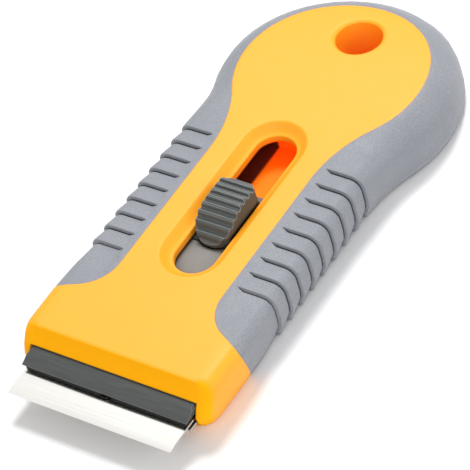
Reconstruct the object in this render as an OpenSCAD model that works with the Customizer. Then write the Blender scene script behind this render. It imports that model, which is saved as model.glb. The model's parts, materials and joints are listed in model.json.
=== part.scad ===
// Hand scraper with a retractable razor blade.
// X runs across the handle, the blade points to -Y, the tail to +Y, and the underside lies on Z = 0.
// The origin is under the middle of the whole length.

/* [Handle] */
// Length of the handle, from the cheeks of the mouth to the tail
handle_l = 114.1; // [106:0.1:130]
// Height of the handle
handle_h = 12.7; // [11.5:0.1:15]
// Radius of the round head, at its widest, near the foot
head_r = 27; // [25.5:0.1:29]
// How much smaller the head is at the top than at the foot
head_taper = 0.2; // [0:0.1:1]
// Width of the cheeks on each side of the blade
cheek_w = 3.4; // [3.2:0.1:4.5]
// How much narrower the waist is than the nose, each side
waist_set = 0.4; // [0:0.1:1]
// How far each side wall curls in under the waist
side_curl = 1.3; // [0.2:0.1:1.4]
// How far each side wall curls in under the nose
nose_side_curl = 1.7; // [0.4:0.1:2]
// Rounding of the long upper edge along the waist and the nose
top_round = 3; // [2:0.1:3.4]
// Rounding of the upper edge round the head
head_round = 6.3; // [4:0.1:6.6]
// How much lower the top is at the tail than at the waist
tail_drop = 2.6; // [1:0.1:3]
// Rounding of the long lower edge
foot_round = 2; // [1:0.1:2]
// Radius of the upright front corners at the foot
corner_r = 3.8; // [3:0.1:4.5]
// Radius of the same corners at the top
corner_top_r = 2.8; // [2:0.1:4]
// How far the front face leans back over its upper part
nose_rake = 3.6; // [1:0.1:4]
// How far the front face curls back under the mouth
nose_curl = 4.4; // [2:0.1:5]
// Height of the joint between the upper shell and the cover below
parting_z = 2; // [1.8:0.1:2.2]
// Wall of the shells
wall = 1.6; // [1.2:0.1:2]

/* [Grip] */
// Thickness of the soft grip on the side walls
grip_t = 1.6; // [1.4:0.1:1.8]
// Thickness of the soft grip beside the blade bay
grip_nose_t = 0.5; // [0.5:0.05:0.8]
// Thickness of the soft grip on the top
grip_top_t = 1.6; // [1.4:0.05:1.8]
// Thickness of the soft grip on the underside
grip_foot_t = 1.2; // [1:0.05:1.2]
// Half of the width of the hard panel between the grips
panel_half = 12.55; // [11.5:0.05:13]
// Radius of the hard panel on the head
panel_head_r = 21.2; // [19:0.1:22]
// Width of the grip rim behind the panel, at the tail
tail_rim = 5.4; // [3:0.1:6]
// Radius of the sweep from the panel's sides into its head
panel_sweep_r = 30.6; // [27:0.1:33]
// Distance from the cheeks to the corner where the grips begin
grip_start = 19.1; // [17:0.1:22]
// Slant of the grips' front edge seen from above, in degrees
grip_slant = 25.6; // [22:0.1:34]
// How far that edge runs back down the whole side
grip_lean = 2.5; // [0:0.1:4]
// Radius of the inner corner of the grips' front edge
grip_corner_r = 9; // [5:0.1:9.5]
// Number of ribs on each grip
rib_n = 9; // [5:1:9]
// Spacing of the ribs
rib_pitch = 4.29; // [3.9:0.01:4.4]
// Height of a rib's step
rib_d = 0.8; // [0.4:0.05:0.85]
// Distance from the cheeks to the first rib
rib_start = 28.4; // [27.5:0.1:30]
// Distance from the centre line to the inner ends of the ribs
rib_half = 14.05; // [13.5:0.05:15]

/* [Slot and hole] */
// Length of the thumb slot
slot_l = 39.9; // [38.5:0.1:43]
// Half of the width of the thumb slot
slot_half = 4.7; // [4.4:0.05:5]
// Distance from the cheeks to the front end of the slot
slot_start = 28.9; // [28.4:0.1:30]
// Width of the dish round the slot
dish_w = 2.85; // [2:0.05:3.2]
// Depth of the dish round the slot
dish_d = 2.3; // [1.5:0.1:2.5]
// Radius of the hanging hole
hole_r = 5.15; // [4:0.05:5.5]
// Distance from the hole's axis to the tail
hole_back = 15.3; // [13:0.1:16]
// Rounding of the hole's edges
hole_round = 1.3; // [0.6:0.1:1.6]
// Wall of the tube round the hole
hole_wall = 2; // [1.4:0.1:2.4]

/* [Blade] */
// Width of the blade
blade_w = 40; // [36:0.1:46]
// Length of the blade, from its edge to its back
blade_l = 18; // [17:0.1:18.4]
// Thickness of the blade
blade_t = 0.4; // [0.3:0.05:0.5]
// How far the edge stands out beyond the cheeks
blade_reach = 8.8; // [8:0.1:10]
// Width of the ground bevel
bevel_w = 1.3; // [0.8:0.1:2]
// Distance from the edge to the locating hole
blade_hole_back = 7; // [6.8:0.05:7.4]
// Radius of the locating hole
blade_hole_r = 1.2; // [1.15:0.05:1.5]

/* [Slide and jaws] */
// Half of the width of the slide
slide_half = 11; // [10.5:0.1:11.2]
// Distance from the blade's back to the back of the slide
slide_l = 44.1; // [44:0.1:46]
// How far the upper jaw stands out beyond the cheeks
jaw_reach = 2.5; // [2:0.1:3]
// How far the upper jaw stands out beyond each end of the blade
jaw_end = 0.3; // [0.1:0.05:0.5]
// Thickness of the upper jaw
jaw_t = 1.5; // [1.3:0.05:1.6]
// Length of the bevel along the front of the upper jaw
jaw_bevel_l = 3.3; // [1:0.1:4]
// Thickness of the leaf below the blade
leaf_t = 0.6; // [0.5:0.05:0.7]
// Travel of the slide from the working place back into the handle
retract_l = 13; // [10:0.5:13]
// Travel of the slide from the working place to the blade change
change_l = 8; // [5:0.5:8]

/* [Thumb button] */
// Half of the width of the button
button_half = 4.4; // [4:0.05:4.45]
// Length of the button
button_l = 14.7; // [14:0.1:16]
// Distance from the slot's front end to the middle of the button
button_mid = 16.2; // [15.9:0.1:16.8]
// Height of the button's top above the handle
button_rise = 2.3; // [1:0.1:2.6]
// Number of ribs on the button
button_rib_n = 8; // [6:1:10]
// Height of the button's ribs
button_rib_d = 0.55; // [0.2:0.05:0.6]
// Travel of the button when it is pressed
press_l = 1.4; // [1:0.1:1.5]
// Diameter of the spring's wire
wire_d = 0.45; // [0.35:0.05:0.5]
// Mean radius of the spring
spring_r = 1.9; // [1.7:0.05:2]
// Number of turns of the spring
spring_turns = 4; // [3:1:5]

/* [Hidden] */

// Colours
yellow = "#FDC24C";
grey = "#A5A8B2";
dark_grey = "#646A68";
black = "#26282A";
steel = "#D9DADB";

// Running clearance between parts that slide on each other
run_gap = 0.2;
// Clearance of a fixed part in its seat
fit_gap = 0.05;
// Overrun of a cut past the face that it opens
over = 1;
// Smoothness of true circles
$fn = 32;

// Heights of the works inside, as shares of the handle's height
roof_share = 0.725;
blade_share = 0.4725;
side_low_share = 0.52;
nose_share = 0.49;
roof_z = roof_share * handle_h;
blade_z = blade_share * handle_h;
side_low_z = side_low_share * handle_h;
side_roof_z = roof_z + fit_gap;
nose_z = nose_share * handle_h;
leaf_gap = 0.1;
slide_foot_z = blade_z - blade_t - leaf_gap - leaf_t;
slide_top_gap = 0.3;
slide_z = roof_z - slide_top_gap;
jaw_z = roof_z - 2 * run_gap;

// Widths that follow the blade
jaw_half = blade_w / 2 + jaw_end;
nose_w = blade_w + 2 * cheek_w;
waist_w = nose_w - 2 * waist_set;

// Places along the handle
overall_l = handle_l + blade_reach;
edge_y = -overall_l / 2;
tail_y = overall_l / 2;
nose_y = edge_y + blade_reach;
head_y = tail_y - head_r;
hole_y = tail_y - hole_back;
slot_y0 = nose_y + slot_start;
slot_y1 = slot_y0 + slot_l;
button_y = slot_y0 + button_mid;
rib_y0 = nose_y + rib_start;
blade_back_y = edge_y + blade_l;
slide_y0 = blade_back_y + run_gap;
slide_y1 = slide_y0 + slide_l;
bay_y1 = slide_y0 + retract_l + run_gap;
block_l = 9;
tray_y0 = slide_y0 + block_l;
table_y1 = max(slide_y1 + retract_l, slot_y1) + wall;

// Points on a quarter circle, from 0 to 1 in each direction
quarter_n = 4;
function rise_share(i) = sin(90 * i / quarter_n);
function run_share(i) = 1 - cos(90 * i / quarter_n);
function smooth_share(u) = let (v = min(1, max(0, u))) v * v * (3 - 2 * v);

// Half widths of the handle: nose, waist, neck, then the round head
neck_angle = 22;
neck_l = 15;
neck_power_share = 2;
neck_y1 = head_y - head_r * sin(neck_angle);
neck_y0 = neck_y1 - neck_l;
nose_flare_l = 9;
nose_flare_y = nose_y + grip_start + nose_flare_l / 2;

function height_share(z) = max(0, z - foot_round) / (handle_h - foot_round);
function head_r_at(z) = head_r - head_taper * height_share(z);
function curl_share(z) = pow(max(0, 1 - max(0, z - foot_round) / (nose_z - foot_round)), 2);
function nose_half_at(z) = nose_w / 2 - nose_side_curl * curl_share(z);
function waist_half_at(z) = waist_w / 2 - side_curl * curl_share(z);
function half_at(y, z) =
    y > neck_y0
        ? waist_half_at(z) + (head_r_at(z) * cos(neck_angle) - waist_half_at(z))
            * pow((y - neck_y0) / neck_l, neck_power_share)
        : waist_half_at(z) + (nose_half_at(z) - waist_half_at(z))
            * smooth_share((nose_flare_y - y) / nose_flare_l);

// Height of the top and rounding of its edge: both change towards the head
drop_l = head_r + 2 * foot_round;
drop_y0 = tail_y - drop_l;
function drop_share(y) = max(0, y - drop_y0) / drop_l;
function top_z_at(y) = handle_h - tail_drop * pow(drop_share(y), 2);
function top_tilt_at(y) = atan(2 * tail_drop * drop_share(y) / drop_l);
function round_at(y) =
    top_round + (head_round - top_round) * smooth_share((y - neck_y0) / neck_l);

// Front of the handle at each height: leaning back above the cheeks, curling back below
front_edge_r = 1.2;
rake_power_share = 1.4;
function front_at(z) =
    z > handle_h - front_edge_r
        ? front_at(handle_h - front_edge_r)
            + front_edge_r * (1 - sqrt(1 - pow((z - handle_h + front_edge_r) / front_edge_r, 2)))
    : z > nose_z
        ? nose_y + nose_rake
            * pow((z - nose_z) / (handle_h - front_edge_r - nose_z), rake_power_share)
        : nose_y + nose_curl * (1 - sqrt(1 - pow((nose_z - z) / nose_z, 2)));

// Saw-tooth ribs: each rises towards the nose and ends in a steep lip with a groove at its foot
lip_lead = 0.3;
lip_back = 0.4;
valley_share = 0.78;
groove_share = 1.25;
// Each row is a place along one rib, from its lip, and the depth there as a share of the step
rib_places = [
    [-lip_lead, 1], [-lip_lead / 2, groove_share], [0, 0.5], [lip_back / 4, 0.12], [lip_back, 0],
    [rib_pitch - 2 * lip_lead, valley_share]
];
rib_fade_l = 7;
fade_least_share = 0.08;
rib_y1 = rib_y0 + (rib_n - 1) * rib_pitch;
function rib_depth(y) =
    y < rib_y0 - lip_lead ? max(fade_least_share, 1 - (rib_y0 - lip_lead - y) / rib_fade_l)
    : y > rib_y1 + lip_back ? 0
    : rib_share((y - rib_y0 + lip_lead) % rib_pitch - lip_lead);
function rib_share(u) = lookup(u, concat(rib_places, [[rib_pitch - lip_lead, 1]]));
rib_stations = [
    for (i = [0:rib_n - 1], p = rib_places)
        if (i < rib_n - 1 || p[0] <= lip_back) rib_y0 + i * rib_pitch + p[0]
];

// Stations along one side of the handle, without and with the ribs
side_y0 = nose_y + nose_curl + corner_r + over;
grip_y0 = nose_y + grip_start - (nose_w / 2 - panel_half) * tan(grip_slant) - over;
neck_n = 6;
neck_stations = [for (i = [0:neck_n - 1]) neck_y0 + neck_l * i / neck_n];
flare_n = 6;
flare_stations = [
    for (i = [0:flare_n]) nose_flare_y - nose_flare_l + nose_flare_l * i / flare_n
];
plain_stations = concat([side_y0], flare_stations, neck_stations);
ribbed_stations = concat(
    [grip_y0], [for (y = flare_stations) if (y < rib_y0 - lip_lead) y], rib_stations,
    [for (y = neck_stations) if (y > rib_y1 + 2 * lip_back) y]
);
core_stations = concat(
    [grip_y0], [for (y = flare_stations) if (y < bay_y1) y],
    [for (i = [0:flare_n]) bay_y1 + nose_flare_l * i / flare_n], neck_stations
);

// Zones of the skin, from the foot to the top. A level is its zone and where it lies in it:
// a step of the rounding, a share of the wall, a height and an inset, or an inset alone,
// which never reaches back into the rounding.
foot_zone = 0;
wall_zone = 1;
edge_zone = 2;
fixed_zone = 3;
top_zone = 4;
flat_margin = 0.3;
// Height and inset of a level at y, below a cover that is side_t and top_t thick
function skin(y, level, side_t, top_t) =
    let (zone = level[0], v = level[1], r = round_at(y), top = top_z_at(y))
        zone == foot_zone ? [foot_round * run_share(v), foot_round * (1 - rise_share(v))]
        : zone == wall_zone ? [foot_round + (top - r - foot_round) * v, 0]
        : zone == edge_zone
            ? [top - r + (r - top_t) * rise_share(v), side_t + (r - side_t) * run_share(v)]
        : zone == fixed_zone ? [v, level[2]]
        : [top, max(v, r + flat_margin)];

// One side of the outline at a level, from the given stations to the tail
head_n = 15;
function side_points(stations, level, side_t = 0, top_t = 0) = concat(
    [for (y = stations)
        let (s = skin(y, level, side_t, top_t)) [half_at(y, s[0]) - s[1], y, s[0]]],
    [for (i = [0:head_n])
        let (a = -neck_angle + (90 + neck_angle) * i / head_n,
            s = skin(head_y, level, side_t, top_t),
            r = head_r_at(s[0]) - s[1],
            y = head_y + r * sin(a))
                [r * cos(a), y, skin(y, level, side_t, top_t)[0]]]
);
function mirrored(points) = [
    for (i = [len(points) - 2:-1:0]) [-points[i][0], points[i][1], points[i][2]]
];
function both_sides(points) = concat(points, mirrored(points));
function in_plan(points) = [for (p = points) [p[0], p[1]]];
function at_height(points, z) = [for (p = points) [p[0], p[1], z]];

// Closed solid through mirrored rings of equal length, lowest first, anticlockwise from above.
// Both ends are closed by strips that run from side to side.
module lofted(rings) {
    n = len(rings[0]);
    m = len(rings);
    mid = (n - 1) / 2;
    top = (m - 1) * n;
    polyhedron(
        points = [for (ring = rings, p = ring) p],
        faces = concat(
            [for (i = [0:mid - 1]) [i, i + 1, n - 1 - i]],
            [for (i = [0:mid - 2]) [i + 1, n - 2 - i, n - 1 - i]],
            [for (k = [0:m - 2], i = [0:n - 1])
                let (a = k * n + i, b = k * n + (i + 1) % n)
                    each [[a, a + n, b + n], [a, b + n, b]]],
            [for (i = [0:mid - 1]) [top + n - 1 - i, top + i + 1, top + i]],
            [for (i = [0:mid - 2]) [top + n - 1 - i, top + n - 2 - i, top + i + 1]]
        )
    );
}

// Levels of the outer skin: foot rounding, wall, top rounding
cheek_share = (nose_z - foot_round) / (handle_h - top_round - foot_round);
foot_levels = [for (i = [0:quarter_n]) [foot_zone, i]];
grip_foot_levels = [for (i = [0, quarter_n / 2, quarter_n]) [foot_zone, i]];
curl_levels = [for (v = [cheek_share / 2, cheek_share]) [wall_zone, v]];
wall_levels = concat(curl_levels, [[wall_zone, (1 + cheek_share) / 2]]);
edge_levels = [for (i = [0:quarter_n]) [edge_zone, i]];

corner_n = 5;
function nose_points(level) =
    let (s = skin(nose_y, level, 0, 0),
        r = corner_r - (corner_r - corner_top_r) * height_share(s[0]) - s[1] / 2,
        x = nose_half_at(s[0]) - s[1] - r, y = front_at(s[0]) + r)
            [for (i = [0:corner_n])
                let (a = -90 + 90 * i / corner_n) [x + r * cos(a), y + r * sin(a), s[0]]];

// The whole handle with smooth sides
module body_form() {
    lofted([
        for (l = concat(foot_levels, wall_levels, edge_levels))
            both_sides(concat(nose_points(l), side_points(plain_stations, l)))
    ]);
}

// The handle behind the nose with ribbed sides
rib_tip_l = 1.4;
rib_tip_share = 0.95;
function ribbed_ring(level, side_share, top_share) =
    [for (p = both_sides(side_points(ribbed_stations, level)))
        let (d = rib_d * rib_depth(p[1]))
            [p[0] - sign(p[0]) * d * side_share, p[1], p[2] - d * top_share]];
rib_tip_inset = waist_half_at(handle_h) - rib_half;
module ribbed_form() {
    lofted(concat(
        [for (l = concat(grip_foot_levels, curl_levels)) ribbed_ring(l, 1, 0)],
        [for (l = edge_levels) ribbed_ring(l, 1 - run_share(l[1]), rise_share(l[1]))],
        [ribbed_ring([top_zone, rib_tip_inset - rib_tip_l], 0, rib_tip_share)],
        [ribbed_ring([top_zone, rib_tip_inset], 0, 0)]
    ));
}

// What lies under the grips
function grip_share(y) = smooth_share((y - bay_y1) / nose_flare_l);
function grip_t_at(y) = grip_nose_t + (grip_t - grip_nose_t) * grip_share(y);
function core_ring(level) =
    [for (p = both_sides(side_points(core_stations, level, grip_t, grip_top_t)))
        [p[0] - sign(p[0]) * (grip_t_at(p[1]) - grip_t), p[1], p[2]]];
module core_form() {
    lofted(concat(
        [core_ring([fixed_zone, grip_foot_t, foot_round + grip_t / 2])],
        [core_ring([fixed_zone, parting_z, grip_t])],
        [for (l = edge_levels) core_ring(l)]
    ));
}

// Outline of the hard panel: slanted front edge, straight sides, sweep and round head
panel_far = nose_w;
panel_n = 10;
panel_head_y = tail_y - tail_rim - panel_head_r;
sweep_dx = panel_half + panel_sweep_r;
sweep_y = panel_head_y - sqrt(pow(panel_head_r + panel_sweep_r, 2) - pow(sweep_dx, 2));
sweep_angle = atan2(panel_head_y - sweep_y, sweep_dx);
slant_y = nose_y + grip_start;
slant_turn = 90 - grip_slant;
slant_tangent = grip_corner_r * tan(slant_turn / 2);
function panel_half_outline(back) = concat(
    [[panel_far, nose_y - panel_far],
        [panel_far, slant_y + back - (panel_far - panel_half) * tan(grip_slant)]],
    [for (i = [panel_n:-1:0])
        let (a = 180 - slant_turn * i / panel_n)
            [panel_half + grip_corner_r + grip_corner_r * cos(a),
                slant_y + back + slant_tangent - grip_corner_r * sin(a)]],
    [for (i = [0:panel_n])
        let (a = 180 - sweep_angle * i / panel_n)
            [sweep_dx + panel_sweep_r * cos(a), sweep_y + panel_sweep_r * sin(a)]],
    [for (i = [1:2 * panel_n])
        let (a = -sweep_angle + (90 + sweep_angle) * i / (2 * panel_n))
            [panel_head_r * cos(a), panel_head_y + panel_head_r * sin(a)]]
);
function lean_at(z) = grip_lean * (handle_h - z) / handle_h;
module panel_form() {
    lofted([
        for (z = [-over, handle_h + over])
            at_height(both_sides(panel_half_outline(lean_at(z))), z)
    ]);
}

// A block between two corners
module block(from, to) {
    translate(from) cube(to - from);
}

// A profile drawn in Y and Z, as wide as given across X
module across(width) {
    translate([-width / 2, 0, 0]) rotate([90, 0, 90]) linear_extrude(width) children();
}

// A plan shape between two heights
module between(z0, z1) {
    translate([0, 0, z0]) linear_extrude(z1 - z0) children();
}

// A slot with round ends, along Y
module slot_shape(y0, y1, half) {
    for (y = [y0 + half, y1 - half]) translate([0, y]) circle(half);
    translate([-half, y0 + half]) square([2 * half, y1 - y0 - 2 * half]);
}

// A rectangle with round corners about the origin
module round_rect(w, l, r) {
    square([w, l - 2 * r], center = true);
    square([w - 2 * r, l], center = true);
    for (x = [-1, 1], y = [-1, 1])
        translate([x * (w / 2 - r), y * (l / 2 - r)]) circle(r);
}

// Thumb slot and the dish round it: a round inner edge, a narrow ledge, a slope, a soft outer edge.
// Each row is a share of the dish's width and a share of its depth.
dish_shares = [
    [0, 1], [0.02, 0.88], [0.08, 0.81], [0.16, 0.78], [0.36, 0.68], [0.64, 0.34], [0.82, 0.12],
    [0.92, 0.03], [1, 0]
];
module slot_section() {
    polygon(concat(
        [[0, roof_z - over], [slot_half, roof_z - over]],
        [for (p = dish_shares) [slot_half + dish_w * p[0], handle_h - dish_d * p[1]]],
        [[slot_half + dish_w, handle_h + over], [0, handle_h + over]]
    ));
}
module slot_cut() {
    straight_l = slot_y1 - slot_y0 - 2 * slot_half;
    for (y = [slot_y0 + slot_half, slot_y1 - slot_half])
        translate([0, y, 0]) rotate_extrude() slot_section();
    translate([0, slot_y1 - slot_half, 0]) rotate([90, 0, 0]) linear_extrude(straight_l) {
        slot_section();
        mirror([1, 0]) slot_section();
    }
}

// Hanging hole: an upright bore with a turned flare at each end, the upper one square to the top
hole_n = 6;
flare_lap = 0.3;
flare_turn = 20;
flare_r = (hole_round + flare_lap) / cos(flare_turn);
module hole_flare() {
    rotate_extrude() polygon(concat(
        [[0, -flare_r + flare_r * sin(flare_turn)]],
        [for (i = [0:hole_n])
            let (a = flare_turn + (90 - flare_turn) * i / hole_n)
                [hole_r + hole_round - flare_r * cos(a), -flare_r + flare_r * sin(a)]],
        [[hole_r + hole_round, over], [0, over]]
    ));
}
module hole_cut() {
    translate([0, hole_y, 0]) {
        translate([0, 0, -over]) cylinder(r = hole_r, h = handle_h + 2 * over);
        translate([0, 0, top_z_at(hole_y)]) rotate([-top_tilt_at(hole_y), 0, 0]) hole_flare();
        mirror([0, 0, 1]) hole_flare();
    }
}

// Screws from below that hold the two shells together
screw_r = 1.2;
screw_head_r = 2.2;
screw_head_h = 1.1;
screw_sink = 0.2;
screw_l = 8.4;
screw_x = 15.6;
screw_back = 8;
screw_waist_y = rib_y0 + screw_back;
screw_head_x = 14;
screw_head_y = head_y - 3;
screw_places = [
    [screw_x, screw_waist_y], [-screw_x, screw_waist_y],
    [screw_head_x, screw_head_y], [-screw_head_x, screw_head_y]
];
boss_r = 2.7;
pad_r = 3.1;
pad_z = 3.2;
cross_w = 0.5;
cross_l = 2.4;
cross_d = 0.7;
seat_z = screw_sink + screw_head_h;
module housing_screw() {
    difference() {
        union() {
            translate([0, 0, screw_sink]) cylinder(r = screw_head_r, h = screw_head_h);
            translate([0, 0, screw_sink]) cylinder(r = screw_r, h = screw_l - screw_r);
            translate([0, 0, screw_sink + screw_l - screw_r]) cylinder(screw_r, screw_r, 0);
        }
        for (a = [0, 90]) rotate(a)
            block([-cross_l / 2, -cross_w / 2, 0], [cross_l / 2, cross_w / 2, screw_sink + cross_d]);
    }
}
module housing_screws() {
    color(steel) for (p = screw_places) translate(p) housing_screw();
}

// Hollow of the upper shell behind the blade bay, round its bosses, guides and tube
bay_gap = 0.2;
bay_half = jaw_half + bay_gap;
guide_x = slide_half + run_gap;
guide_w = 1.5;
guide_z = slide_foot_z + run_gap;
cavity_stations = concat([bay_y1 - over, bay_y1 + nose_flare_l], neck_stations);
module cavity_shape(inset) {
    polygon(in_plan(both_sides(
        side_points(cavity_stations, [fixed_zone, 0, grip_t + wall + inset])
    )));
}
module upper_cavity() {
    difference() {
        union() {
            between(parting_z - over, side_low_z) cavity_shape(0);
            between(parting_z, side_roof_z) cavity_shape(head_round / 2);
        }
        block([-guide_x - guide_w, bay_y1 - 2 * over, roof_z],
            [guide_x + guide_w, table_y1, side_roof_z + over]);
        for (x = [-guide_x - guide_w, guide_x])
            block([x, bay_y1, guide_z], [x + guide_w, table_y1, roof_z + over]);
        block([-waist_w, table_y1, pad_z + fit_gap],
            [waist_w, table_y1 + wall, side_roof_z + over]);
        for (p = screw_places)
            translate([p[0], p[1], pad_z + fit_gap]) cylinder(r = boss_r, h = handle_h);
        translate([0, hole_y, 0]) cylinder(r = hole_r + hole_wall, h = handle_h);
    }
}
module hard_form() {
    intersection() {
        body_form();
        panel_form();
    }
    core_form();
}
far = handle_l;
module upper_shell() {
    color(yellow) difference() {
        hard_form();
        block([-far, -far, -over], [far, far, parting_z]);
        block([-bay_half, nose_y - over, parting_z - over], [bay_half, bay_y1, roof_z]);
        upper_cavity();
        slot_cut();
        hole_cut();
        for (p = screw_places)
            translate([p[0], p[1], pad_z - over])
                cylinder(r = screw_r + fit_gap, h = screw_sink + screw_l - pad_z + over + fit_gap);
    }
}

// Cover below, with the table and the rails that carry the slide, and the lip under the mouth
table_gap = 0.4;
rail_w = 1.8;
table_z = slide_foot_z - table_gap;
rail_z = slide_foot_z - run_gap;
rail_gap = 0.4;
rail_y0 = bay_y1 + rail_gap;
table_y0 = tray_y0 + retract_l;
lip_set = 2.2;
lip_w = 3.2;
lip_drop = 1.6;
lip_z = slide_foot_z - lip_drop;
lap_t = 1.2;
module lap_rim() {
    between(parting_z - over / 2, pad_z) difference() {
        cavity_shape(fit_gap);
        cavity_shape(fit_gap + lap_t);
        translate([-waist_w, bay_y1 - 2 * over]) square([2 * waist_w, 2 * over + rail_gap]);
    }
}
module screw_heads() {
    for (p = screw_places)
        translate([p[0], p[1], -over]) cylinder(r = screw_head_r + run_gap, h = seat_z + over);
}
module lower_shell() {
    color(yellow) difference() {
        union() {
            difference() {
                hard_form();
                block([-far, -far, parting_z], [far, far, handle_h + over]);
            }
            block([-slide_half + rail_w, table_y0, parting_z - over],
                [slide_half - rail_w, table_y1 - fit_gap, table_z]);
            for (x = [-slide_half, slide_half - rail_w])
                block([x, rail_y0, parting_z - over], [x + rail_w, table_y1 - fit_gap, rail_z]);
            block([-bay_half + fit_gap, nose_y + lip_set, parting_z - over / 2],
                [bay_half - fit_gap, nose_y + lip_set + lip_w, lip_z]);
            for (p = screw_places)
                translate([p[0], p[1], parting_z - over / 2])
                    cylinder(r = pad_r, h = pad_z - parting_z + over / 2);
            lap_rim();
        }
        hole_cut();
        screw_heads();
        for (p = screw_places) translate(p) cylinder(r = screw_r + run_gap, h = pad_z + over);
    }
}

// Soft grips over the core, round the hard panel
module upper_grip() {
    color(grey) difference() {
        ribbed_form();
        panel_form();
        core_form();
        block([-far, -far, -over], [far, far, parting_z]);
    }
}
module lower_grip() {
    color(grey) difference() {
        ribbed_form();
        panel_form();
        core_form();
        block([-far, -far, parting_z], [far, far, handle_h + over]);
        screw_heads();
    }
}

// Blade with a ground edge and its locating hole
blade_hole_y = edge_y + blade_hole_back;
edge_t = 0.05;
module blade() {
    z0 = blade_z - blade_t;
    color(steel) difference() {
        across(blade_w) polygon([
            [edge_y, z0], [edge_y, z0 + edge_t], [edge_y + bevel_w, blade_z],
            [blade_back_y, blade_z], [blade_back_y, z0]
        ]);
        translate([0, blade_hole_y, z0 - over]) cylinder(r = blade_hole_r, h = blade_t + 2 * over);
    }
}

// Slide: a low front block between the jaws, then a tray that carries the button
core_wall = 1.6;
core_d = 2.2;
shoe_l = 13;
shoe_half = 7.4;
shoe_t = 1.2;
shoe_gap = 0.15;
post_shift = 1;
pocket_half = shoe_half + run_gap;
pocket_l = shoe_l + 2 * run_gap;
pocket_r = 1.5;
pocket_floor_t = 1;
pocket_z = slide_foot_z + pocket_floor_t;
rivet_r = 1.25;
rivet_head_r = 2.1;
rivet_head_h = 0.5;
rivet_x = 6;
rivet_y = slide_y0 + block_l / 2;
module rivet_holes() {
    for (x = [-rivet_x, rivet_x])
        translate([x, rivet_y, 0]) cylinder(r = rivet_r + fit_gap, h = handle_h);
}
module slide_plate() {
    color(dark_grey) difference() {
        union() {
            block([-slide_half, slide_y0, slide_foot_z + leaf_t],
                [slide_half, tray_y0 + over, jaw_z - jaw_t]);
            block([-slide_half, tray_y0, slide_foot_z], [slide_half, slide_y1, slide_z]);
        }
        block([-slide_half + core_wall, tray_y0 + core_wall, slide_foot_z - over],
            [slide_half - core_wall, button_y - pocket_l / 2 - core_wall, slide_foot_z + core_d]);
        translate([0, button_y]) between(pocket_z, handle_h)
            round_rect(2 * pocket_half, pocket_l, pocket_r);
        translate([0, button_y]) between(button_z0 - press_l - run_gap, handle_h)
            button_plan(run_gap);
        rivet_holes();
    }
}

// Upper jaw, as wide as the blade in front, with a neck that is riveted to the slide
jaw_chamfer = 0.5;
jaw_edge_t = 0.1;
neck_half = slide_half - fit_gap;
jaw_y0 = nose_y - jaw_reach;
jaw_y1 = tray_y0 - fit_gap;
module jaw_plan(half, y0) {
    translate([-half, y0]) square([2 * half, blade_back_y - y0]);
    translate([-neck_half, y0]) square([2 * neck_half, jaw_y1 - y0]);
}
module upper_jaw() {
    color(dark_grey) difference() {
        intersection() {
            across(2 * jaw_half + 2 * over) polygon([
                [jaw_y0, jaw_z - jaw_t], [jaw_y0, jaw_z - jaw_t + jaw_edge_t],
                [jaw_y0 + jaw_bevel_l, jaw_z], [jaw_y1, jaw_z], [jaw_y1, jaw_z - jaw_t]
            ]);
            between(0, handle_h) jaw_plan(jaw_half, jaw_y0);
            rotate([90, 0, 0]) translate([0, 0, -far]) linear_extrude(2 * far) polygon([
                [-jaw_half, 0], [-jaw_half, jaw_z - jaw_chamfer], [-jaw_half + jaw_chamfer, jaw_z],
                [jaw_half - jaw_chamfer, jaw_z], [jaw_half, jaw_z - jaw_chamfer], [jaw_half, 0]
            ]);
        }
        rivet_holes();
        for (x = [-rivet_x, rivet_x])
            translate([x, rivet_y, jaw_z - rivet_head_h]) cylinder(r = rivet_head_r + fit_gap, h = over);
    }
}

// Strip under the jaw that presses on the blade, with the peg that locates it
strip_set = 0.5;
peg_r = 1;
peg_l = 1.1;
peg_rise = 0.7;
module clamp_strip() {
    color(black) {
        block([-blade_w / 2 + fit_gap, jaw_y0 + strip_set, blade_z],
            [blade_w / 2 - fit_gap, blade_back_y, jaw_z - jaw_t]);
        translate([0, blade_hole_y, blade_z - peg_l]) cylinder(r = peg_r, h = peg_l + peg_rise);
    }
}

// Sprung leaf under the blade: flat under the slide, bowed below the blade, bearing near its edge
leaf_bow = 0.9;
leaf_reach = 2.4;
leaf_step = 0.6;
leaf_top_z = slide_foot_z + leaf_t;
leaf_y0 = edge_y + leaf_reach;
// Each row is a share of the leaf's length from its front, and a share of its bow
leaf_shares = [[0.28, 0.86], [0.44, 1], [0.6, 0.86], [0.84, 0.08], [1, 0]];
function leaf_side(drop) = concat(
    [[leaf_y0, blade_z - blade_t - fit_gap - drop]],
    [for (p = leaf_shares)
        [leaf_y0 + (blade_back_y - leaf_y0) * p[0], leaf_top_z - leaf_bow * p[1] - drop]],
    [[tray_y0, leaf_top_z - drop]]
);
module support_leaf() {
    lower = leaf_side(leaf_t);
    color(steel) difference() {
        intersection() {
            across(2 * jaw_half) polygon(concat(
                leaf_side(0), [for (i = [len(lower) - 1:-1:0]) lower[i]]
            ));
            between(0, handle_h) {
                jaw_plan(blade_w / 2, jaw_y0 + leaf_step);
                translate([-blade_w / 2 + leaf_step, edge_y]) square([blade_w - 2 * leaf_step, blade_l]);
            }
        }
        rivet_holes();
    }
}

// Rivets through the jaw's neck, the slide and the leaf
module jaw_rivets() {
    color(steel) for (x = [-rivet_x, rivet_x]) translate([x, rivet_y, 0]) {
        translate([0, 0, slide_foot_z]) cylinder(r = rivet_r, h = jaw_z - slide_foot_z);
        translate([0, 0, jaw_z - rivet_head_h]) cylinder(r = rivet_head_r, h = rivet_head_h);
        translate([0, 0, slide_foot_z - rivet_head_h]) cylinder(r = rivet_head_r, h = rivet_head_h);
    }
}

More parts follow.
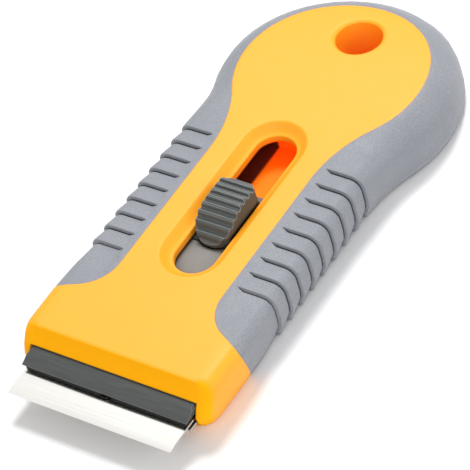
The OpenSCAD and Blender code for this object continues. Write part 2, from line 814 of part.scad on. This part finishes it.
// Brake shoe below the slot: two wings that bear on the roof, and a hollow post for the button
post_half = 3;
post_l = 6.8;
post_drop = 1.3;
post_z = handle_h - post_drop;
post_top = 0.9;
shoe_z1 = roof_z - shoe_gap;
shoe_z0 = shoe_z1 - shoe_t;
post_y = button_y + post_shift;
spring_top_z = post_z - post_top;
module brake_shoe() {
    color(black) difference() {
        union() {
            translate([0, button_y]) between(shoe_z0, shoe_z1)
                round_rect(2 * shoe_half, shoe_l, pocket_r);
            between(shoe_z0, post_z) slot_shape(post_y - post_l / 2, post_y + post_l / 2, post_half);
        }
        translate([0, post_y, shoe_z0 - over])
            cylinder(r = spring_r + wire_d / 2 + run_gap, h = spring_top_z - shoe_z0 + over);
    }
}

// Thumb button: a ribbed pad that is high at the back and slopes down into the slot in front
button_z0 = slide_z + run_gap;
button_corner_r = 4;
button_tail_r = 2.6;
button_nose_share = 0.8;
button_nose_drop = button_nose_share * (handle_h + button_rise - button_z0);
button_tail_drop = 0.5;
button_peak_share = 0.35;
button_edge_r = 0.9;
button_margin = 1.2;
button_rib_pitch = (button_l - 2 * button_margin) / (button_rib_n - 1);
rib_crest_share = 0.14;
rib_foot_share = 0.36;
hollow_gap = 0.1;
function pad_z_at(y) =
    let (u = 2 * (y - button_y) / button_l, p = button_peak_share)
        handle_h + button_rise - (u < p
            ? button_nose_drop * pow((p - u) / (1 + p), 2)
            : button_tail_drop * pow((u - p) / (1 - p), 2));
button_y0 = button_y - button_l / 2;
button_y1 = button_y + button_l / 2;
pad_outline = [
    for (i = [0:button_rib_n - 1],
        p = [[-rib_foot_share, 1], [-rib_crest_share, 0], [rib_crest_share, 0], [rib_foot_share, 1]])
        let (y = button_y0 + button_margin + (i + p[0]) * button_rib_pitch)
            [y, pad_z_at(y) - button_rib_d * p[1]]
];
module button_plan(gap) {
    half = button_half + gap;
    l = button_l / 2 + gap;
    front_r = button_corner_r + gap;
    tail_r = button_tail_r + gap;
    translate([-half, front_r - l]) square([2 * half, 2 * l - front_r - tail_r]);
    translate([front_r - half, -l]) square([2 * (half - front_r), l]);
    translate([tail_r - half, 0]) square([2 * (half - tail_r), l]);
    for (x = [-1, 1]) {
        translate([x * (half - front_r), front_r - l]) circle(front_r);
        translate([x * (half - tail_r), l - tail_r]) circle(tail_r);
    }
}
module thumb_button() {
    color(dark_grey) difference() {
        intersection() {
            across(2 * button_half + 2 * over) polygon(concat(
                [[button_y0, button_z0]],
                [[button_y0, pad_z_at(button_y0) - button_rib_d / 2]],
                pad_outline,
                [[button_y1, pad_z_at(button_y1) - button_rib_d], [button_y1, button_z0]]
            ));
            translate([0, button_y]) between(0, 2 * handle_h) button_plan(0);
            rotate([90, 0, 0]) translate([0, 0, -far]) linear_extrude(2 * far) polygon([
                [-button_half, 0],
                for (i = [0:quarter_n])
                    [-button_half + button_edge_r * run_share(i),
                        handle_h + button_rise - button_edge_r * (1 - rise_share(i))],
                for (i = [quarter_n:-1:0])
                    [button_half - button_edge_r * run_share(i),
                        handle_h + button_rise - button_edge_r * (1 - rise_share(i))],
                [button_half, 0]
            ]);
        }
        between(button_z0 - over, post_z + hollow_gap)
            slot_shape(post_y - post_l / 2 - hollow_gap, post_y + post_l / 2 + hollow_gap,
                post_half + hollow_gap);
    }
}

// Return spring of the button: one tube wound along a helix
wire_sides = 6;
curl_rings = 8;
spring_z0 = pocket_z + wire_d / 2 + fit_gap;
spring_z1 = spring_top_z - wire_d / 2 - fit_gap;
function coil_point(t, r, dz) =
    [r * cos(360 * spring_turns * t), post_y + r * sin(360 * spring_turns * t),
        spring_z0 + (spring_z1 - spring_z0) * t + dz];
coil_rings = spring_turns * curl_rings;
coil_points = [
    for (k = [0:coil_rings], s = [0:wire_sides - 1])
        let (a = 360 * s / wire_sides)
            coil_point(k / coil_rings, spring_r + wire_d / 2 * cos(a), wire_d / 2 * sin(a))
];
coil_mids = [for (k = [0:coil_rings]) coil_point(k / coil_rings, spring_r, 0)];
coil_gap = min([
    for (k = [0:coil_rings], j = [k + curl_rings / 2:1:coil_rings])
        norm(coil_mids[k] - coil_mids[j])
]) - wire_d;
module button_spring() {
    echo(least_gap_in_spring = coil_gap);
    color(steel) polyhedron(
        points = coil_points,
        faces = concat(
            [[for (s = [0:wire_sides - 1]) s]],
            [for (k = [0:coil_rings - 1], s = [0:wire_sides - 1])
                let (a = k * wire_sides + s, b = k * wire_sides + (s + 1) % wire_sides)
                    each [[a, a + wire_sides, b + wire_sides], [a, b + wire_sides, b]]],
            [[for (s = [wire_sides - 1:-1:0]) coil_rings * wire_sides + s]]
        )
    );
}

upper_shell();
lower_shell();
upper_grip();
lower_grip();
housing_screws();
slide_plate();
upper_jaw();
clamp_strip();
blade();
support_leaf();
jaw_rivets();
thumb_button();
brake_shoe();
button_spring();
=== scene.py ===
"""A razor blade scraper with a two-colour moulded handle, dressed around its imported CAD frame.

The CAD nodes keep their shapes, and the coil spring is wound anew in round wire. This script gives
each piece its finish, adds the studio and sets the camera where the photograph was taken from.
"""
import json
import math

import bpy
from mathutils import Matrix, Vector


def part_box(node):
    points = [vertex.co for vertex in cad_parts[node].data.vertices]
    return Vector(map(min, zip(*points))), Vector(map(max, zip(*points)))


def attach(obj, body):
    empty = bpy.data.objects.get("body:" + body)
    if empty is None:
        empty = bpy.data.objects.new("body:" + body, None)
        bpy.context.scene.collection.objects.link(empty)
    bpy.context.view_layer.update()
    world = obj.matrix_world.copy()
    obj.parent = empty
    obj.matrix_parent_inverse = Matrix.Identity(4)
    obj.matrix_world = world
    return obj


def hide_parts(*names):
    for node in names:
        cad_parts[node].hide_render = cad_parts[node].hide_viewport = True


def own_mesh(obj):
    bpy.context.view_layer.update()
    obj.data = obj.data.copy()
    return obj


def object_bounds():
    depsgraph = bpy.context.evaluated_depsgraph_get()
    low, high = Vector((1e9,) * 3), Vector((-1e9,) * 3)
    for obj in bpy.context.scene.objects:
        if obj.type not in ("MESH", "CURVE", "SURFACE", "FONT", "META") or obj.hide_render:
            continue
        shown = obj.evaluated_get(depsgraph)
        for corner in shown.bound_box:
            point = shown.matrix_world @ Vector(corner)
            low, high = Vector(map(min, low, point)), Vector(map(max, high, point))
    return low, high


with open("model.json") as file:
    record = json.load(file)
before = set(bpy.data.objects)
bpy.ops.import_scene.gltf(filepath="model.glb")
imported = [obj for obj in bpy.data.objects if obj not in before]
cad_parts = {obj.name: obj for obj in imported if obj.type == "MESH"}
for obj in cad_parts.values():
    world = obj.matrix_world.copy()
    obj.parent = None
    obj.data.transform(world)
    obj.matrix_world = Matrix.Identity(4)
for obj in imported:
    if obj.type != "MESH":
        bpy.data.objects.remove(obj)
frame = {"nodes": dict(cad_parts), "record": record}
cad_low, cad_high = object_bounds()


def named(rows, name):
    """The row with that name, from one of the record's lists."""
    return next(row for row in rows if row["name"] == name)


MM = 0.001
WHITE = (1, 1, 1, 1)

# Joining of the CAD facets into smooth faces
SMOOTH_ANGLE = math.radians(32)
WELD_GAP = 0.001 * MM

# Places on the handle that the finishes follow, read from the frame
record = frame["record"]
hang_hole = named(record["mounts"], "hang_hole")
slide_way = named(record["physics"]["openings"], "slide_way")
top_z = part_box("upper_shell")[1].z
parting_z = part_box("upper_grip")[0].z
hole_y = hang_hole["pos_m"][1]
hole_r = hang_hole["dims"]["r_mm"] * MM
bay_rear_y = slide_way["box_m"][1][1]

# The nose, and the hanging hole's wall: its depths below the face and distances beyond its radius
NOSE_REAR_Y = -36 * MM
HOLE_PALE_DEPTH = 5.5 * MM
HOLE_RED_DEPTH = 11 * MM
HOLE_WALL_NEAR = 0.2 * MM
HOLE_WALL_FAR = 1.5 * MM

# The bay between the shells
BAY_HALF_W = 20.5 * MM
BAY_FRONT_Y = -48.5 * MM
BAY_BACK_Y = 30 * MM
BAY_FLOOR_Z = 1.65 * MM
BAY_ROOF_Z = 9.4 * MM

# The painted glow under the slot, for light falling through it; it ends a little past the bay's rear
# and reddens on the way there
GLOW_LEFT_X = -4.2 * MM
GLOW_RIGHT_X = 4.6 * MM
GLOW_FRONT_Y = -5 * MM
GLOW_PAST_REAR = 1 * MM
REDDEN_FROM_Y = 4 * MM
RED_BEFORE_REAR = 2 * MM

# The return spring's round wire
WIRE_R = 0.225 * MM
WIRE_SIDES = 12
COIL_TURNS = 4
TURN_STEPS = 32

# The studio: the floor in metres, and how strongly the world lights and shows
FLOOR_HALF = 1.5
FLOOR_DROP = 0.02 * MM
WORLD_LIGHT = 0.5
WORLD_SHOWN = 1.0


def add_object(name, data):
    """A new object of the scene."""
    made = bpy.data.objects.new(name, data)
    bpy.context.scene.collection.objects.link(made)
    return made


# Camera, fitted to the photograph's edges: metres for its place, millimetres for its lens

CAMERA_PLACE = Vector((0.358449, -0.356975, 0.513669))
CAMERA_RIGHT = Vector((0.82216, 0.52647, -0.21652))
CAMERA_UP = Vector((-0.26921, 0.69472, 0.667))
SENSOR = 36.0
LENS = 266.08


def place_camera():
    """The camera of the photograph, a long lens from above the nose's right side."""
    data = bpy.data.cameras.new("camera")
    data.type = "PERSP"
    data.sensor_width = SENSOR
    data.lens = LENS
    camera = add_object("camera", data)
    right = CAMERA_RIGHT.normalized()
    back = right.cross(CAMERA_UP).normalized()
    up = back.cross(right)
    turn = Matrix((right, up, back)).transposed().to_4x4()
    camera.matrix_world = Matrix.Translation(CAMERA_PLACE) @ turn
    bpy.context.scene.camera = camera


# Materials

NOISE_MIDDLE = (0.3, 0.7)
BEVEL_SAMPLES = 6
SHELTER_SAMPLES = 8


def linear(code):
    """A colour written as RRGGBB, in the linear values that shaders take."""
    parts = [int(code[i:i + 2], 16) / 255 for i in (0, 2, 4)]
    return tuple(c / 12.92 if c <= 0.04045 else ((c + 0.055) / 1.055) ** 2.4 for c in parts) + (1.0,)


def darker(code, share):
    """The same colour with each of its parts at that share."""
    return "".join("%02X" % round(int(code[i:i + 2], 16) * share) for i in (0, 2, 4))


class Finish:
    """A material on the object's own coordinates, in metres, built up from layers of noise.

    A mask is a value between 0 and 1 over the surface, and it mixes colours or levels.
    """

    def __init__(self, name, colour, roughness, metallic=0.0, specular=0.5, sheen=0.0):
        self.material = bpy.data.materials.new(name)
        self.material.use_nodes = True
        self.tree = self.material.node_tree
        self.shader = self.tree.nodes["Principled BSDF"]
        for socket, value in (
            ("Base Color", linear(colour)),
            ("Roughness", roughness),
            ("Metallic", metallic),
            ("Specular IOR Level", specular),
            ("Sheen Weight", sheen),
        ):
            self.shader.inputs[socket].default_value = value
        coordinates = self.node("ShaderNodeTexCoord").outputs
        self.place = coordinates["Object"]
        self.direction = coordinates["Normal"]
        self.normal = None

    def node(self, kind, **values):
        """A new node of that kind with its settings."""
        made = self.tree.nodes.new(kind)
        for key, value in values.items():
            setattr(made, key, value)
        return made

    def link(self, output, socket):
        """Leads an output to a socket."""
        self.tree.links.new(output, socket)

    def feed(self, name, value):
        """Leads a value to the shader's socket of that name."""
        self.link(value, self.shader.inputs[name])

    def stretched(self, scale):
        """The object's coordinates times a scale along each axis."""
        mapping = self.node("ShaderNodeMapping")
        mapping.inputs["Scale"].default_value = scale
        self.link(self.place, mapping.inputs["Vector"])
        return mapping.outputs["Vector"]

    def noise(self, size, detail=3.0, stretch=(1, 1, 1)):
        """Noise with features of about that size, between 0 and 1 and mostly near its middle."""
        noise = self.node("ShaderNodeTexNoise")
        noise.inputs["Scale"].default_value = 1.0 / size
        noise.inputs["Detail"].default_value = detail
        self.link(self.stretched(stretch), noise.inputs["Vector"])
        return noise.outputs["Fac"]

    def patches(self, size, low=0, high=1, **values):
        """Noise whose middle range is spread between low and high."""
        return self.ramp(self.noise(size, **values), *NOISE_MIDDLE, low, high)

    def cells(self, size):
        """Distance to the nearest of the points spread about a size apart."""
        cells = self.node("ShaderNodeTexVoronoi")
        cells.inputs["Scale"].default_value = 1.0 / size
        self.link(self.place, cells.inputs["Vector"])
        return cells.outputs["Distance"]

    def ramp(self, value, start, end, low=0, high=1):
        """value between start and end, spread between low and high."""
        spread = self.node("ShaderNodeMapRange")
        for key, number in (("From Min", start), ("From Max", end), ("To Min", low), ("To Max", high)):
            spread.inputs[key].default_value = number
        self.link(value, spread.inputs["Value"])
        return spread.outputs["Result"]

    def level(self, mask, off, on):
        """One level where the mask is 0, up to another where it is 1."""
        return self.ramp(mask, 0, 1, off, on)

    def reckon(self, operation, *values):
        """The result of one Math node on sockets or numbers."""
        math_node = self.node("ShaderNodeMath", operation=operation)
        for socket, value in zip(math_node.inputs, values):
            if isinstance(value, (int, float)):
                socket.default_value = value
            else:
                self.link(value, socket)
        return math_node.outputs[0]

    def all_of(self, *masks):
        """The masks multiplied, so 1 only where each of them is."""
        both = masks[0]
        for mask in masks[1:]:
            both = self.reckon("MULTIPLY", both, mask)
        return both

    def blend_colour(self, mask, first, second):
        """The first colour where the mask is 0, up to the second where it is 1."""
        mix = self.node("ShaderNodeMix", data_type="RGBA")
        self.link(mask, mix.inputs["Factor"])
        for socket, value in ((mix.inputs[6], first), (mix.inputs[7], second)):
            if isinstance(value, str):
                socket.default_value = linear(value)
            else:
                self.link(value, socket)
        return mix.outputs[2]

    def part_of(self, vector, axis):
        """One of the three parts of a vector."""
        split = self.node("ShaderNodeSeparateXYZ")
        self.link(vector, split.inputs[0])
        return split.outputs[axis]

    def along(self, axis):
        """The place along an axis, in metres."""
        return self.part_of(self.place, axis)

    def facing(self, axis):
        """How far the surface faces along an axis, between -1 and 1."""
        return self.part_of(self.direction, axis)

    def between(self, axis, low, high, soft):
        """1 between two places along an axis, and 0 beyond them, with soft edges."""
        place = self.along(axis)
        rise = self.ramp(place, low - soft / 2, low + soft / 2)
        fall = self.ramp(place, high - soft / 2, high + soft / 2, 1, 0)
        return self.reckon("MULTIPLY", rise, fall)

    def from_axis(self, y):
        """Distance in plan from an upright axis on the centre line."""
        dx, dy = self.along("X"), self.reckon("SUBTRACT", self.along("Y"), y)
        squares = [self.reckon("MULTIPLY", d, d) for d in (dx, dy)]
        return self.reckon("SQRT", self.reckon("ADD", *squares))

    def shelter(self, reach, closed, clear):
        """0 in grooves and recesses up to 1 on open faces, judged within a reach."""
        hidden = self.node("ShaderNodeAmbientOcclusion", samples=SHELTER_SAMPLES)
        hidden.inputs["Distance"].default_value = reach
        return self.ramp(hidden.outputs["AO"], closed, clear)

    def bevelled(self, radius):
        """The surface's direction as it would be with its edges rounded."""
        bevel = self.node("ShaderNodeBevel", samples=BEVEL_SAMPLES)
        bevel.inputs["Radius"].default_value = radius
        return bevel.outputs["Normal"]

    def crest_highlights(self, radius, reach):
        """1 along ridges and outer corners, where highlights are painted, and 0 on faces and in
        grooves.

        An edge is told by the cosine between the surface's direction and the rounded one.
        """
        slight_turn, full_turn = 0.995, 0.94
        turned = self.node("ShaderNodeVectorMath", operation="DOT_PRODUCT")
        self.link(self.bevelled(radius), turned.inputs[0])
        self.link(self.node("ShaderNodeNewGeometry").outputs["Normal"], turned.inputs[1])
        corner = self.ramp(turned.outputs["Value"], slight_turn, full_turn)
        return self.all_of(corner, self.shelter(reach, closed=0.6, clear=0.85))

    def shade_by(self, normal):
        """Makes that the direction in which the surface is shaded."""
        self.normal = normal
        self.feed("Normal", normal)

    def round_edges(self, radius):
        """Catches light along the edges, as a moulded or broken edge does."""
        self.shade_by(self.bevelled(radius))

    def bump(self, height, depth):
        """Roughens the shading by a height between 0 and 1 times a depth, on top of what is there."""
        bump = self.node("ShaderNodeBump")
        bump.inputs["Distance"].default_value = depth
        self.link(height, bump.inputs["Height"])
        if self.normal:
            self.link(self.normal, bump.inputs["Normal"])
        self.shade_by(bump.outputs["Normal"])


def painted_nose_front(finish):
    """Mask of the faces that look forward at the nose, which get painted light: a yellower colour and
    little reflection.
    """
    most_forward, least_forward = -0.5, -0.2
    nose = finish.between("Y", cad_low.y, NOSE_REAR_Y, soft=6 * MM)
    return finish.all_of(nose, finish.ramp(finish.facing("Y"), most_forward, least_forward, 1, 0))


def hole_depths(finish):
    """Mask of the lower part of the hanging hole's wall, which gets a painted glow."""
    at_wall = finish.ramp(finish.from_axis(hole_y), hole_r + HOLE_WALL_FAR, hole_r + HOLE_WALL_NEAR)
    below = finish.ramp(finish.along("Z"), top_z - HOLE_RED_DEPTH, top_z - HOLE_PALE_DEPTH, 1, 0)
    return finish.all_of(at_wall, below)


def bay_masks(finish):
    """Masks of the bay between the shells, which gets painted shade, and of the part of it under the
    slot, which gets a painted glow.
    """
    bay_painted_shade = finish.all_of(
        finish.between("X", -BAY_HALF_W, BAY_HALF_W, soft=0.3 * MM),
        finish.between("Y", BAY_FRONT_Y, BAY_BACK_Y, soft=1 * MM),
        finish.between("Z", BAY_FLOOR_Z, BAY_ROOF_Z, soft=0.6 * MM),
    )
    slot_painted_glow = finish.all_of(
        bay_painted_shade,
        finish.between("X", GLOW_LEFT_X, GLOW_RIGHT_X, soft=0.7 * MM),
        finish.between("Y", GLOW_FRONT_Y, bay_rear_y + GLOW_PAST_REAR, soft=1 * MM),
    )
    return bay_painted_shade, slot_painted_glow


def shell_plastic():
    """Orange-yellow moulded plastic with fine grain and faint flow marks, and painted light in places.

    Painted light: the nose's forward faces are yellower with almost no reflection, and the lower
    wall of the hanging hole turns red with a faint painted glow. Painted shade makes the bay dark
    brown, apart from the part under the slot, which has a painted orange glow for light falling in.
    """
    shine, front_shine, bay_share = 0.4, 0.02, 0.25
    bay_glow, hole_glow = 0.5, 0.05
    finish = Finish("shell_plastic", "FFA81B", roughness=0.5, specular=shine)
    front_painted_light = painted_nose_front(finish)
    hole_glow_mask = hole_depths(finish)
    bay_painted_shade, slot_painted_glow = bay_masks(finish)

    base = finish.blend_colour(finish.patches(size=30 * MM, detail=2), "FFA61B", "FFA81F")
    # Painted light and shade over the base: yellower forward faces, a red hole wall, dark bay shade
    # and an orange glow under the slot.
    for mask, colour in (
        (front_painted_light, "FFB010"), (hole_glow_mask, "FF9408"), (bay_painted_shade, "6A2410"), (slot_painted_glow, "FF7A0C"),
    ):
        base = finish.blend_colour(mask, base, colour)
    finish.feed("Base Color", base)

    # Painted light: the forward faces lose nearly all reflection.
    open_shine = finish.level(front_painted_light, shine, front_shine)
    share = finish.level(slot_painted_glow, 1, bay_share)
    finish.feed("Specular IOR Level", finish.reckon("MULTIPLY", open_shine, share))

    # Painted glow under the slot for light falling through it, redder towards the rear.
    rearward = finish.ramp(finish.along("Y"), REDDEN_FROM_Y, bay_rear_y - RED_BEFORE_REAR)
    glow = finish.blend_colour(rearward, "FF7A00", "FF3000")
    finish.feed("Emission Color", finish.blend_colour(hole_glow_mask, glow, "FF4A00"))
    bay_lit = finish.reckon("MULTIPLY", slot_painted_glow, bay_glow)
    # Painted glow in the hole's lower wall, for light coming through the plastic.
    hole_lit = finish.reckon("MULTIPLY", hole_glow_mask, hole_glow)
    finish.feed("Emission Strength", finish.reckon("MAXIMUM", bay_lit, hole_lit))

    finish.feed("Roughness", finish.patches(size=4 * MM, low=0.48, high=0.53))
    finish.round_edges(radius=0.35 * MM)
    finish.bump(finish.cells(size=0.4 * MM), depth=0.008 * MM)
    finish.bump(finish.noise(size=12 * MM), depth=0.004 * MM)
    return finish.material


def grip_rubber():
    """Grey soft overmoulding: sandy speckle, a painted highlight along the parting line, and painted
    shade in the grooves between the ribs.
    """
    finish = Finish("grip_rubber", "8B8D94", roughness=0.55, specular=0.33, sheen=0.1)
    base = finish.blend_colour(finish.patches(size=18 * MM), "888A91", "909298")
    grains = finish.ramp(finish.noise(size=0.35 * MM, detail=4), 0.35, 0.65)
    speckled = finish.blend_colour(grains, "7F8289", base)
    # Painted highlight: a paler band along the parting line, where its bead would catch light.
    parting_highlight_half = 0.12 * MM
    parting_highlight = finish.between("Z", parting_z - parting_highlight_half, parting_z + parting_highlight_half, soft=0.1 * MM)
    highlit_parting = finish.blend_colour(parting_highlight, speckled, "A2A4AC")
    # Painted shade: the grooves between the ribs darken to near black.
    unshaded_faces = finish.shelter(reach=0.7 * MM, closed=0.4, clear=0.72)
    finish.feed("Base Color", finish.blend_colour(unshaded_faces, "18191B", highlit_parting))
    finish.feed("Roughness", finish.patches(size=3 * MM, low=0.5, high=0.64))
    finish.round_edges(radius=0.12 * MM)
    finish.bump(finish.cells(size=0.3 * MM), depth=0.018 * MM)
    finish.bump(finish.noise(size=0.5 * MM, detail=5), depth=0.018 * MM)
    return finish.material


def button_plastic():
    """Dark grey plastic with painted highlights along its ridges and painted shade in the grooves
    between them.
    """
    finish = Finish("button_plastic", "505453", roughness=0.5, specular=0.4)
    base = finish.blend_colour(finish.patches(size=5 * MM), "484C4B", "545856")
    # Painted highlight: the ridges are lit pale.
    wear_and_highlights = finish.blend_colour(finish.crest_highlights(radius=0.15 * MM, reach=0.6 * MM), base, "A9ADAA")
    # Painted shade: the grooves between the ridges darken to near black.
    unshaded_faces = finish.shelter(reach=0.8 * MM, closed=0.55, clear=0.95)
    finish.feed("Base Color", finish.blend_colour(unshaded_faces, "0A0C0C", wear_and_highlights))
    finish.feed("Roughness", finish.patches(size=2 * MM, low=0.44, high=0.56))
    finish.round_edges(radius=0.15 * MM)
    finish.bump(finish.cells(size=0.3 * MM), depth=0.012 * MM)
    return finish.material


def black_plastic(name, colour):
    """Black moulded plastic with a fine grain and little gloss."""
    finish = Finish(name, colour, roughness=0.4, specular=0.15)
    finish.feed("Roughness", finish.patches(size=3 * MM, low=0.4, high=0.55))
    finish.bump(finish.noise(size=0.35 * MM, detail=4), depth=0.004 * MM)
    return finish.material


def jaw_paint():
    """Dark grey paint over rolled steel, faintly streaked along the jaw, with painted highlights at
    its edges.
    """
    finish = Finish("jaw_paint", "464948", roughness=0.5, specular=0.3)
    streaks = finish.patches(size=0.5 * MM, detail=5, stretch=(0.08, 1, 1))
    base = finish.blend_colour(streaks, "3E4140", "484C4B")
    wear_and_highlights = finish.crest_highlights(radius=0.12 * MM, reach=0.5 * MM)
    # Painted highlight along the jaw's edges.
    finish.feed("Base Color", finish.blend_colour(wear_and_highlights, base, "868985"))
    finish.feed("Roughness", finish.level(streaks, 0.45, 0.55))
    finish.round_edges(radius=0.12 * MM)
    finish.bump(streaks, depth=0.004 * MM)
    return finish.material


def slide_nylon():
    """Warm grey nylon, matte, with fine scuffs along its travel and painted shade where the shell
    covers it.
    """
    finish = Finish("slide_nylon", "6A6863", roughness=0.5, specular=0.4)
    scuffs = finish.patches(size=0.3 * MM, detail=4, stretch=(1, 0.1, 1))
    wear_and_highlights = finish.blend_colour(scuffs, "777570", "7E7C77")
    # Painted shade: the slide darkens towards the walls and under the shell.
    unshaded_faces = finish.shelter(reach=5 * MM, closed=0.3, clear=0.85)
    finish.feed("Base Color", finish.blend_colour(unshaded_faces, "161412", wear_and_highlights))
    finish.feed("Roughness", finish.patches(size=2 * MM, low=0.45, high=0.55))
    finish.round_edges(radius=0.15 * MM)
    finish.bump(scuffs, depth=0.004 * MM)
    return finish.material


def brushed_steel(name, colour, roughness, stretch=(1, 1, 1), strength=1.0):
    """Ground or drawn steel with fine streaks, which are long where the stretch is small."""
    shade, groove, spread = 0.06 * strength, 0.001 * MM * strength, 0.03
    finish = Finish(name, colour, roughness, metallic=1.0)
    streaks = finish.patches(size=0.25 * MM, detail=6, stretch=stretch)
    finish.feed("Base Color", finish.blend_colour(streaks, darker(colour, 1 - shade), colour))
    finish.feed("Roughness", finish.level(streaks, roughness - spread, roughness + spread))
    finish.bump(streaks, depth=groove)
    return finish.material


def place_materials():
    """One finish for each slot of the record, on every CAD node that has that slot."""
    finishes = {
        "shell": shell_plastic(),
        "grip": grip_rubber(),
        "button": button_plastic(),
        "jaw": jaw_paint(),
        "strip": black_plastic("strip_plastic", "0B0C0D"),
        "slide": slide_nylon(),
        "shoe": black_plastic("shoe_nylon", "26282A"),
        "blade": brushed_steel("blade_steel", "F3F1EC", 0.17, stretch=(0.02, 1.6, 1.6), strength=0.4),
        "leaf": brushed_steel("leaf_steel", "D0D2D3", 0.3, stretch=(0.06, 1, 1)),
        "screws": brushed_steel("screw_steel", "CDCFCE", 0.34),
        "rivets": brushed_steel("rivet_steel", "CFD1D1", 0.33),
        "spring": brushed_steel("spring_steel", "C4C6C7", 0.3),
    }
    slots = {part["node"]: part["material_slot"] for part in record["subparts"]}
    for name, node in frame["nodes"].items():
        node.data.materials.clear()
        node.data.materials.append(finishes[slots[name]])
        smooth_between_edges(node)
    return finishes


def smooth_between_edges(node):
    """Joins the facets' shared points, parts them at true edges, weighs normals by area and angle."""
    node.data.shade_smooth()
    weld = node.modifiers.new("weld", "WELD")
    weld.merge_threshold = WELD_GAP
    split = node.modifiers.new("edges", "EDGE_SPLIT")
    split.split_angle = SMOOTH_ANGLE
    weigh = node.modifiers.new("normals", "WEIGHTED_NORMAL")
    weigh.mode = "FACE_AREA_WITH_ANGLE"


# Return spring

def coil_mesh(middle, coil_r, low_z, high_z):
    """One unbroken wound wire with closed ends, its middle rising from low_z to high_z."""
    rings = COIL_TURNS * TURN_STEPS
    points = []
    for ring in range(rings + 1):
        angle = math.tau * ring / TURN_STEPS
        ring_z = low_z + (high_z - low_z) * ring / rings
        for side in range(WIRE_SIDES):
            turn = math.tau * side / WIRE_SIDES
            r = coil_r + WIRE_R * math.cos(turn)
            points.append((middle.x + r * math.cos(angle), middle.y + r * math.sin(angle),
                           ring_z + WIRE_R * math.sin(turn)))
    last = rings * WIRE_SIDES
    faces = [tuple(range(WIRE_SIDES)), tuple(range(last + WIRE_SIDES - 1, last - 1, -1))]
    for first in range(0, last, WIRE_SIDES):
        for side in range(WIRE_SIDES):
            a, b = first + side, first + (side + 1) % WIRE_SIDES
            faces.append((a, a + WIRE_SIDES, b + WIRE_SIDES, b))
    mesh = bpy.data.meshes.new("return_coil")
    mesh.from_pydata(points, [], faces)
    mesh.shade_smooth()
    return mesh


def wind_spring(finish):
    """The button's spring in round wire, between the ends that the CAD spring has."""
    low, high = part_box("button_spring")
    middle = (low + high) / 2
    coil_r = (high.x - low.x) / 2 - WIRE_R
    mesh = coil_mesh(middle, coil_r, low.z + WIRE_R, high.z - WIRE_R)
    mesh.materials.append(finish)
    coil = add_object("return_coil", mesh)
    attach(coil, "carriage")
    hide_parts("button_spring")
    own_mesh(coil)


# Studio

def light_world():
    """A soft white world, brighter to the camera and to mirrored or refracted rays."""
    world = bpy.data.worlds.new("studio")
    bpy.context.scene.world = world
    world.use_nodes = True
    nodes, links = world.node_tree.nodes, world.node_tree.links
    lighting = nodes["Background"]
    shown = nodes.new("ShaderNodeBackground")
    for background, strength in ((lighting, WORLD_LIGHT), (shown, WORLD_SHOWN)):
        background.inputs["Color"].default_value = WHITE
        background.inputs["Strength"].default_value = strength
    rays = nodes.new("ShaderNodeLightPath").outputs
    seen = rays["Is Camera Ray"]
    for kind in ("Is Glossy Ray", "Is Transmission Ray"):
        either = nodes.new("ShaderNodeMath")
        either.operation = "MAXIMUM"
        links.new(seen, either.inputs[0])
        links.new(rays[kind], either.inputs[1])
        seen = either.outputs[0]
    mix = nodes.new("ShaderNodeMixShader")
    links.new(seen, mix.inputs["Fac"])
    links.new(lighting.outputs[0], mix.inputs[1])
    links.new(shown.outputs[0], mix.inputs[2])
    links.new(mix.outputs[0], nodes["World Output"].inputs["Surface"])


def lay_floor():
    """A pale paper floor, just below the part."""
    floor_z = cad_low.z - FLOOR_DROP
    corners = [(-FLOOR_HALF, -FLOOR_HALF), (FLOOR_HALF, -FLOOR_HALF), (FLOOR_HALF, FLOOR_HALF),
               (-FLOOR_HALF, FLOOR_HALF)]
    mesh = bpy.data.meshes.new("floor")
    mesh.from_pydata([(x, y, floor_z) for x, y in corners], [], [(0, 1, 2, 3)])
    floor = add_object("floor", mesh)
    finish = Finish("floor_paper", "F4F4F4", roughness=0.6)
    finish.feed("Base Color", finish.blend_colour(finish.noise(size=50 * MM), "F1F1F1", "F7F7F7"))
    mesh.materials.append(finish.material)


def hang_lamps():
    """Three soft lamps aimed at the origin: metres for place and size, watts for power."""
    for name, place, size, power in (
        ("key", (-0.2, 0.5, 0.85), 0.3, 8.5),
        ("fill", (0.45, -0.7, 0.5), 0.7, 3.3),
        ("side", (0.8, 0.2, 0.4), 0.5, 1.6),
    ):
        data = bpy.data.lights.new(name, "AREA")
        data.size = size
        data.energy = power
        lamp = add_object(name, data)
        lamp.location = place
        lamp.rotation_euler = (Vector(place) * -1).to_track_quat("-Z", "Y").to_euler()


def build_studio():
    """Plain colours, the world, the floor and the lamps."""
    bpy.context.scene.view_settings.view_transform = "Standard"
    light_world()
    lay_floor()
    hang_lamps()


place_camera()
finishes = place_materials()
wind_spring(finishes["spring"])
build_studio()
